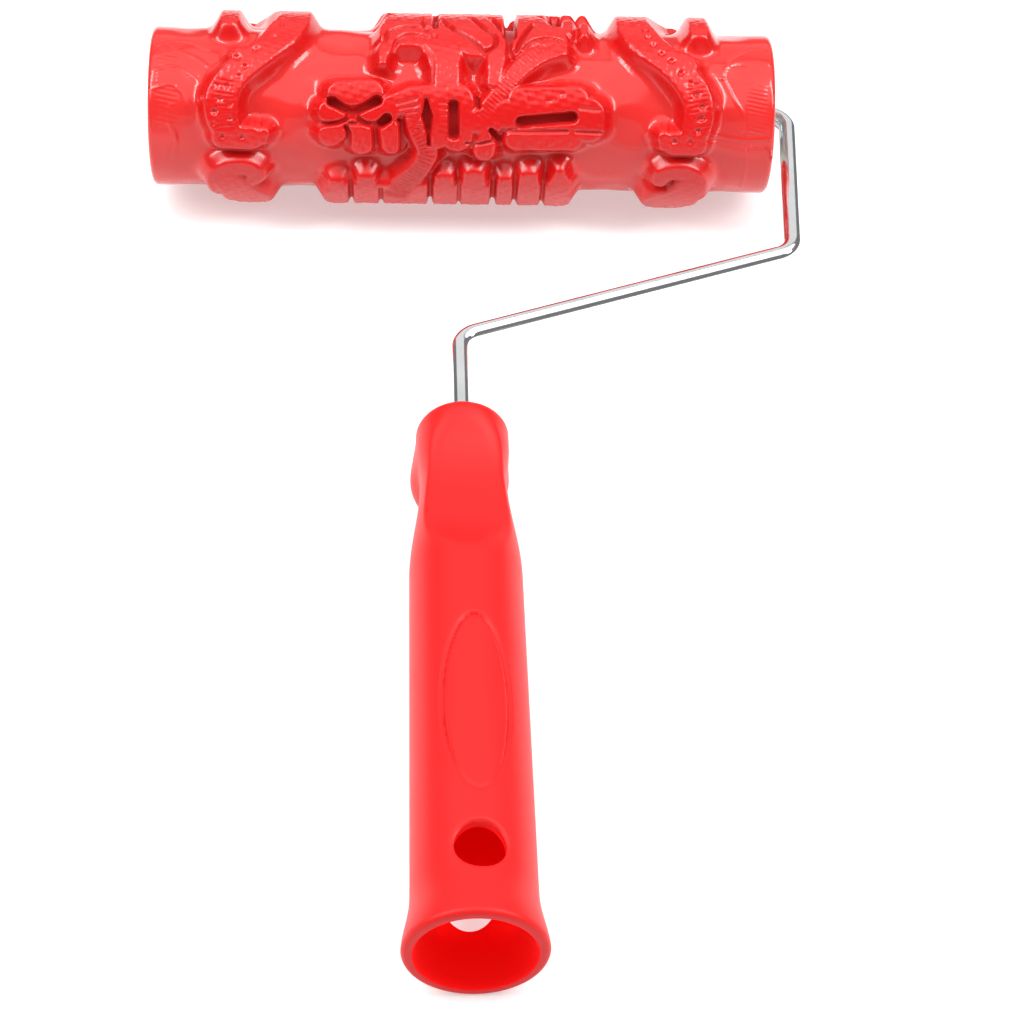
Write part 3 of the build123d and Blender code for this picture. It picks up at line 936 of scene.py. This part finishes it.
class ROLLER_OT_sleeve(bpy.types.Operator):
    """Make the embossed rubber sleeve"""

    bl_idname = "roller.sleeve"
    bl_label = "Pattern sleeve"

    def execute(self, context):
        sleeve = settings().sleeve
        forward, up = tool_axes()
        half = (sleeve_high.x - sleeve_low.x) / 2
        full_radius = (sleeve_high.z - sleeve_low.z) / 2
        base = full_radius - sleeve.relief_height
        rim = sleeve.rim_round
        flat = half - rim
        x = np.linspace(-flat, flat, round(2 * flat / sleeve.step) + 1)
        per_half = round(pi * full_radius / sleeve.step)
        degrees = np.linspace(LOWER_SEAM, LOWER_SEAM + HALF_TURN, per_half + 1)
        relief = carved_relief(
            x / MM, degrees, full_radius / MM, sleeve.relief_height / MM, sleeve.wall_width / MM
        )
        radius = with_mirror(relief.height) * MM + base
        turn = radians(LOWER_SEAM) + np.arange(2 * per_half) * pi / per_half

        # The rounded rims, the end faces and the bore, as (place, radius) pairs.
        quarter = np.linspace(pi / 2, 0, RIM_ROWS)[1:]
        edge = [(flat + rim * cos(a), base - rim + rim * sin(a)) for a in quarter]
        edge += [(half, sleeve.bore_radius + rim / 2), (half - rim / 3, sleeve.bore_radius)]
        rows = [(-place, np.full(turn.shape, r)) for place, r in reversed(edge)]
        rows += list(zip(x, radius))
        rows += [(place, np.full(turn.shape, r)) for place, r in edge]

        middle = np.array(axle)
        outward = -np.outer(np.cos(turn), forward) + np.outer(np.sin(turn), up)
        skin = [middle + place * np.array(along) + outward * r[:, None] for place, r in rows]
        piece = grid_object("sleeve_relief", skin, ring=True)

        extra = len(edge) * len(turn)
        share = relief.height * MM / sleeve.relief_height
        store_mark(piece, "relief", np.pad(with_mirror(share).ravel(), extra))
        # The slot mark carries the painted shade of the slots and grooves.
        store_mark(piece, "slot", np.pad(with_mirror(relief.slot).ravel(), extra))
        finished(piece, "roller", printed_rubber(sleeve))
        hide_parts("pattern_sleeve")
        return {"FINISHED"}


# ---- handle ----------------------------------------------------------------------

# How late the flare opens; more is later.
FLARE_POWER = 1.4
# Metres: how wide the bump and the scoop run into the grip.
BUMP_BLEND = 2.5 * MM
SCOOP_BLEND = 2.0 * MM
# The scoop only cuts where the surface faces the front by at least this much, and
# elsewhere its height is set clear of everything, in metres.
NEARLY_SIDE = 0.05
CLEAR_OF_ALL = 1.0
# The oval outline fades towards its lower end: by how much, and from which share of
# its half length.
OVAL_FADE = 0.75
OVAL_FADE_FROM = 0.2
# Metres: rounding of the hanging hole's edge and of the mouth's outer and inner edge,
# and the depth at which the mouth's inside starts.
HOLE_ROUND = 1.1 * MM
LIP_ROUND = 1.2 * MM
INNER_ROUND = 0.5 * MM
MOUTH_START = 1.0 * MM
# The hole's edge is only rounded where the surface faces front or back this much.
FRONT_OR_BACK = 0.5
# The pit around the rod in the head's top, from its middle outwards: depth, and
# radius as a share of the rod's diameter. Then rows on the flat top outside it.
PIT = ((1.5 * MM, 0.4), (1.5 * MM, 0.53), (0.3 * MM, 0.53), (0.0, 0.6))
FLAT_TOP = (0.35, 0.7)
# Points around the handle and around its hanging hole.
HANDLE_SIDES = 220
HOLE_SIDES = 64
# Rows of points on each stretch of the handle's skin, from its top to the socket.
CROWN_ROWS = 14
SKIN_ROWS = 320
LIP_ROWS = 7
INNER_ROWS = 5
TAPER_ROWS = 20
SOCKET_ROWS = 60


def eased(d, start, end, first, last):
    """Value that goes from first at start to last at end, level at both."""
    t = np.clip((d - start) / (end - start), 0.0, 1.0)
    return first + (last - first) * t * t * (3.0 - 2.0 * t)


def crown(d, radius, round_over):
    """Radius near a rounded top edge."""
    short = np.clip(1.0 - d / round_over, 0.0, 1.0)
    return radius - round_over + round_over * np.sqrt(1.0 - short * short)


def grip_radius(handle, d):
    """Round profile of the handle at a depth, without the bump and the scoop."""
    flare = handle.length - handle.flare_length
    if d < handle.waist_depth:
        return eased(d, handle.head_round * 2, handle.waist_depth,
                     handle.head_radius, handle.waist_radius)
    if d < handle.shoulder_depth:
        return eased(d, handle.waist_depth, handle.shoulder_depth,
                     handle.waist_radius, handle.shoulder_radius)
    slope = (handle.grip_end_radius - handle.shoulder_radius) / (flare - handle.shoulder_depth)
    grip = handle.shoulder_radius + slope * (d - handle.shoulder_depth)
    opening = eased(d, flare, handle.length, 0.0, 1.0) ** FLARE_POWER
    return grip + (handle.rim_radius - handle.grip_end_radius) * opening


def bump_circle(handle, d):
    """Radius of the finger bump about its own middle line."""
    if d < handle.bump_depth:
        return eased(d, 0.0, handle.bump_depth, handle.bump_top_radius, handle.bump_radius)
    return eased(d, handle.bump_depth, handle.bump_length,
                 handle.bump_radius, handle.bump_end_radius)


def scoop_line(handle, d):
    """Height of the thumb scoop above the axis, as one circular arc."""
    top, bottom = handle.scoop_top, handle.scoop_bottom
    middle = (top + bottom) / 2
    half = (bottom - top) / 2
    edge = (handle.head_radius + handle.shoulder_radius) / 2
    sag = edge - handle.scoop_floor
    arc = (half * half + sag * sag) / (2 * sag)
    away = np.minimum(np.abs(d - middle), 0.999 * arc)
    line = handle.scoop_floor + arc - np.sqrt(arc * arc - away * away)
    tilt = (handle.shoulder_radius - handle.head_radius) / (bottom - top)
    return line + tilt * (d - middle)


def handle_skin(handle, d, turn):
    """Outer radius of the handle at a depth, all round. Turn is 0 at the front."""
    grip = grip_radius(handle, d)
    ring = bump_circle(handle, d)
    if d < handle.head_round:
        grip = min(grip, crown(d, handle.head_radius, handle.head_round))
        ring = min(ring, crown(d, handle.bump_top_radius, handle.head_round))
    toward = -handle.bump_offset * np.cos(turn)
    inside = ring * ring - handle.bump_offset**2 + toward**2
    bump = np.where(inside > 0, toward + np.sqrt(np.maximum(inside, 0.0)), 0.0)
    radius = soft_max(np.full(turn.shape, grip), bump, BUMP_BLEND)
    face = np.maximum(np.cos(turn), NEARLY_SIDE)
    scoop = np.where(face > NEARLY_SIDE, scoop_line(handle, d) / face, CLEAR_OF_ALL)
    return soft_min(radius, scoop, SCOOP_BLEND)


def sunk_details(handle, d, turn, radius):
    """How far the surface sinks at the oval outline and at the hanging hole."""
    x = radius * np.sin(turn)
    across = handle.oval_width / 2
    down = handle.oval_length / 2
    below = d - handle.oval_top - down
    flow = np.hypot(x / across, below / down)
    steep = np.hypot(x / across**2, below / down**2)
    away = np.abs(flow - 1.0) * flow / np.maximum(steep, 1e-6)
    groove = smooth_step(1.0 - away / handle.oval_groove)
    lower = (below / down - OVAL_FADE_FROM) / (1.0 - OVAL_FADE_FROM)
    fade = 1.0 - OVAL_FADE * smooth_step(lower)
    front = np.cos(turn) > 0
    sunk = handle.oval_depth * groove * fade * front
    edge = np.hypot(x, d - (handle.length - handle.hole_height)) - handle.hole_radius
    rounded = np.clip(1.0 - edge / HOLE_ROUND, 0.0, 1.0)
    facing = np.abs(np.cos(turn)) > FRONT_OR_BACK
    return sunk + HOLE_ROUND * (1.0 - np.sqrt(1.0 - rounded**2)) * facing


class ROLLER_OT_handle(bpy.types.Operator):
    """Make the moulded handle with its thumb scoop, socket and hanging hole"""

    bl_idname = "roller.handle"
    bl_label = "Handle"

    def execute(self, context):
        handle = settings().handle
        rod = settings().rod
        top = np.array(head_top())
        turn = even_turns(HANDLE_SIDES)
        outward = np.outer(np.sin(turn), handle_right) + np.outer(np.cos(turn), handle_front)
        rows = self.outside_rows(handle, rod, turn) + self.inside_rows(handle, turn)
        down = np.array(handle_down)
        skin = [top + d * down + outward * radius[:, None] for d, radius in rows]
        piece = grid_object("handle_grip", skin)
        self.pierce(handle, piece)
        self.mark_inside(handle, piece)
        finished(piece, "frame", moulded_red(handle))
        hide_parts("handle")
        return {"FINISHED"}

    def outside_rows(self, handle, rod, turn):
        """Depth and radius of each row, from the pit around the rod to the lip."""
        even = np.ones(turn.shape)
        rows = [(d, share * rod.diameter * even) for d, share in PIT]
        pit = rows[-1][1]
        cap = handle_skin(handle, 0.0, turn)
        rows += [(0.0, pit + (cap - pit) * t) for t in FLAT_TOP]
        depths = [handle.head_round * (1 - cos(a)) for a in np.linspace(0, pi / 2, CROWN_ROWS)]
        lip_start = handle.length - LIP_ROUND
        depths += list(np.linspace(handle.head_round, lip_start, SKIN_ROWS)[1:])
        for d in depths:
            radius = handle_skin(handle, d, turn)
            rows.append((d, radius - sunk_details(handle, d, turn, radius)))
        for a in np.linspace(0, pi / 2, LIP_ROWS)[1:]:
            radius = handle.rim_radius - LIP_ROUND + LIP_ROUND * cos(a)
            rows.append((lip_start + LIP_ROUND * sin(a), radius * even))
        return rows

    def inside_rows(self, handle, turn):
        """Depth and radius of each row, from the inner lip to the socket's end."""
        even = np.ones(turn.shape)
        rows = []
        for a in np.linspace(0, pi / 2, INNER_ROWS):
            radius = handle.mouth_radius + INNER_ROUND - INNER_ROUND * sin(a)
            rows.append((handle.length - INNER_ROUND + INNER_ROUND * cos(a), radius * even))
        taper_end = handle.length - handle.mouth_taper
        socket_end = handle.length - handle.socket_depth
        for d in np.linspace(handle.length - MOUTH_START, taper_end, TAPER_ROWS):
            part = (d - taper_end) / handle.mouth_taper
            reach = handle.mouth_radius - handle.socket_radius
            rows.append((d, (handle.socket_radius + reach * part) * even))
        cone_start = socket_end + handle.socket_radius / 2
        for d in np.linspace(taper_end, cone_start, SOCKET_ROWS)[1:]:
            rows.append((d, handle.socket_radius * even))
        rows.append((socket_end, handle.socket_radius / 2 * even))
        return rows

    def pierce(self, handle, piece):
        """Cut the hanging hole through both walls."""
        turn = even_turns(HOLE_SIDES)
        ring = np.outer(np.cos(turn), handle_right) + np.outer(np.sin(turn), handle_down)
        ring = np.array(hole_middle) + ring * handle.hole_radius
        reach = np.array(handle_front) * handle.rim_radius * 1.5
        drill = grid_object("drill", [ring - reach, ring + reach])
        cut = piece.modifiers.new("hole", "BOOLEAN")
        cut.operation = "DIFFERENCE"
        cut.solver = "EXACT"
        cut.object = drill
        graph = bpy.context.evaluated_depsgraph_get()
        pierced = bpy.data.meshes.new_from_object(piece.evaluated_get(graph))
        piece.modifiers.clear()
        piece.data = pierced
        bpy.data.objects.remove(drill)
        piece.data.set_sharp_from_angle(angle=radians(50))

    def mark_inside(self, handle, piece):
        """Mark the points of the mouth, the socket and the hanging hole's wall."""
        points = np.empty(len(piece.data.vertices) * 3)
        piece.data.vertices.foreach_get("co", points)
        place = points.reshape(-1, 3) - np.array(head_top())
        depth = place @ np.array(handle_down)
        across = np.linalg.norm(place - np.outer(depth, handle_down), axis=1)
        slack = 0.5 * MM
        inner = across < handle.mouth_radius + slack
        inner &= depth > handle.length - handle.mouth_taper - slack
        bore = across < handle.socket_radius + slack
        inner |= bore & (depth > handle.length - handle.socket_depth - slack)
        # The inside mark also carries the painted glow.
        store_mark(piece, "inside", inner)


# ---- bent rod --------------------------------------------------------------------

# Metres: longest piece of a straight run, and the small bevel at the free end.
LONGEST_RUN = 6.0 * MM
END_BEVEL = 0.5 * MM


def round_corners(corners, radius, steps=16):
    """Points of a flat path with each inner corner rounded by an arc."""
    path = [Vector(corners[0])]
    for before, corner, after in zip(corners, corners[1:], corners[2:]):
        into = (Vector(corner) - Vector(before)).normalized()
        out = (Vector(after) - Vector(corner)).normalized()
        turn = into.angle(out)
        side = 1.0 if into.cross(out) > 0 else -1.0
        start = Vector(corner) - into * radius * tan(turn / 2)
        centre = start + Vector((-into.y, into.x)) * side * radius
        spoke = start - centre
        for step in range(steps + 1):
            path.append(centre + Matrix.Rotation(side * turn * step / steps, 2) @ spoke)
    path.append(Vector(corners[-1]))
    return path


def long_runs_divided(path, longest):
    """The same path with points added on its long straight runs."""
    finer = [path[0]]
    for start, end in pairwise(path):
        parts = max(1, round((end - start).length / longest))
        finer += [start.lerp(end, (n + 1) / parts) for n in range(parts)]
    return finer


class ROLLER_OT_rod(bpy.types.Operator):
    """Make the bent chrome rod from the axle to the tang"""

    bl_idname = "roller.rod"
    bl_label = "Bent rod"

    def execute(self, context):
        rod = settings().rod
        forward, up = tool_axes()
        radius = rod.diameter / 2
        free_end = rod_low.x - axle.x
        arm = rod_high.x - radius - axle.x
        top = head_top() - axle
        head = Vector((top.x, top.dot(forward)))
        lean = handle_down.dot(along)
        stub_drop = -head.y - rod.arm_drop - rod.diagonal_drop
        stub = Vector((-lean, 1.0)).normalized()
        corners = [
            (free_end, 0.0),
            (arm, 0.0),
            (arm - rod.arm_lean, -rod.arm_drop),
            head + stub * stub_drop,
            head - stub * rod.tang_depth,
        ]
        path = long_runs_divided(round_corners(corners, rod.bend_radius), LONGEST_RUN)
        turn = even_turns(settings().around)
        skin = []
        for number, point in enumerate(path):
            before = path[max(number - 1, 0)]
            after = path[min(number + 1, len(path) - 1)]
            heading = (after - before).normalized()
            side = along * -heading.y + forward * heading.x
            ring = np.outer(np.cos(turn), side) + np.outer(np.sin(turn), up)
            middle = np.array(axle + along * point.x + forward * point.y)
            if number == 0:
                skin.append(middle + ring * (radius - END_BEVEL))
                middle = middle + np.array(along) * END_BEVEL
            skin.append(middle + ring * radius)
        piece = grid_object("bent_rod", skin)
        piece.data.set_sharp_from_angle(angle=radians(35))
        finished(piece, "frame", bright_chrome(rod))
        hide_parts("wire_frame")
        return {"FINISHED"}


class ROLLER_OT_fittings(bpy.types.Operator):
    """Finish the plugs, bushes, washers, collar, ring and tube"""

    bl_idname = "roller.fittings"
    bl_label = "Axle fittings"

    def execute(self, context):
        rod = settings().rod
        plug = waxy_plastic("plug_plastic", rod.plug, roughness=0.40)
        bush = waxy_plastic("bush_plastic", rod.bush, roughness=0.30)
        tube = waxy_plastic("tube_plastic", rod.tube, roughness=0.50)
        zinc = plated_zinc(rod)
        kinds = {"plug": plug, "bush": bush, "tube": tube, "washer": zinc,
                 "collar": zinc, "ring": zinc}
        for name, node in frame["nodes"].items():
            kind = name.split("_")[-1]
            if kind not in kinds:
                continue
            for slot in node.material_slots:
                slot.material = kinds[kind]
            edge = node.modifiers.new("edge", "BEVEL")
            edge.width = 0.12 * MM
            edge.segments = 2
            edge.limit_method = "ANGLE"
            edge.angle_limit = radians(40)
        return {"FINISHED"}


# ---- stage -----------------------------------------------------------------------

# Soft lights: name, place, target, width and height in metres, and the setting with
# their power.
LIGHTS = [
    ("softbox", (0.0, 0.05, 1.15), (0.0, 0.05, 0.0), (3.0, 1.4), "box_power"),
    ("left", (-0.8, -0.1, 1.0), (0.0, 0.1, 0.0), (0.25, 1.2), "side_power"),
    ("right", (0.8, -0.1, 1.0), (0.0, 0.1, 0.0), (0.25, 1.2), "side_power"),
    ("front", (0.0, -2.0, 0.36), (0.0, 0.13, 0.0), (3.0, 0.7), "front_power"),
    ("back", (0.0, 2.0, 1.40), (0.0, 0.0, 0.0), (3.0, 1.6), "back_power"),
]


def sheet_object(name, corners, material):
    """Flat stage sheet through four corners."""
    mesh = bpy.data.meshes.new(name)
    mesh.from_pydata(corners, [], [(0, 1, 2, 3)])
    mesh.materials.append(material)
    new_object(name, mesh)


class ROLLER_OT_stage(bpy.types.Operator):
    """Set out the floor, the lights and the camera"""

    bl_idname = "roller.stage"
    bl_label = "Stage"

    def execute(self, context):
        stage = settings().stage
        scene = context.scene
        half = stage.floor_size / 2
        sheet_object(
            "bench",
            [(-half, -half, 0), (half, -half, 0), (half, half, 0), (-half, half, 0)],
            bench_white(stage),
        )
        for name, place, target, size, power_setting in LIGHTS:
            self.light(name, place, target, size, getattr(stage, power_setting))
        world = bpy.data.worlds.new("room")
        world.use_nodes = True
        back = world.node_tree.nodes["Background"]
        back.inputs["Color"].default_value = (1.0, 1.0, 1.0, 1.0)
        back.inputs["Strength"].default_value = stage.ambient
        scene.world = world
        scene.view_settings.view_transform = "Standard"
        self.camera(stage, scene)
        return {"FINISHED"}

    def light(self, name, place, target, size, power):
        """Rectangular soft light at a place, turned to its target."""
        lamp = bpy.data.lights.new(name, "AREA")
        lamp.shape = "RECTANGLE"
        lamp.size, lamp.size_y = size
        lamp.energy = power
        holder = new_object(name, lamp)
        holder.location = place
        aim = Vector(target) - Vector(place)
        holder.rotation_euler = aim.to_track_quat("-Z", "Y").to_euler()

    def camera(self, stage, scene):
        """Camera placed and turned in the tool's own plane."""
        forward, up = tool_axes()
        lens = bpy.data.cameras.new("camera")
        lens.lens = stage.lens
        lens.sensor_width = 36.0
        holder = new_object("camera", lens)
        tool = Matrix((along, forward, up)).transposed()
        eye = Vector((stage.eye_side, -stage.eye_back, stage.eye_height))
        turned = Matrix.Rotation(-stage.eye_turn, 3, "Z")
        turned = turned @ Matrix.Rotation(pi / 2 - stage.eye_tip, 3, "X")
        turned = turned @ Matrix.Rotation(stage.eye_roll, 3, "Z")
        holder.matrix_world = Matrix.LocRotScale(axle + tool @ eye, tool @ turned, None)
        scene.camera = holder


# ---- panel and registering -------------------------------------------------------

OPERATORS = (
    ROLLER_OT_stage,
    ROLLER_OT_sleeve,
    ROLLER_OT_handle,
    ROLLER_OT_rod,
    ROLLER_OT_fittings,
)


class ROLLER_PT_panel(bpy.types.Panel):
    """Sidebar panel with one button for each step"""

    bl_idname = "ROLLER_PT_panel"
    bl_label = "Pattern roller"
    bl_space_type = "VIEW_3D"
    bl_region_type = "UI"
    bl_category = "Roller"

    def draw(self, context):
        for operator in OPERATORS:
            self.layout.operator(operator.bl_idname)


CLASSES = (
    SleeveSettings,
    HandleSettings,
    RodSettings,
    StageSettings,
    RollerSettings,
    *OPERATORS,
    ROLLER_PT_panel,
)


def register():
    for item in CLASSES:
        bpy.utils.register_class(item)
    bpy.types.Scene.pattern_roller = PointerProperty(type=RollerSettings)


def unregister():
    del bpy.types.Scene.pattern_roller
    for item in reversed(CLASSES):
        bpy.utils.unregister_class(item)


def main():
    """Make the whole roller."""
    register()
    bpy.ops.roller.stage()
    bpy.ops.roller.sleeve()
    bpy.ops.roller.handle()
    bpy.ops.roller.rod()
    bpy.ops.roller.fittings()


if __name__ == "__main__":
    main()
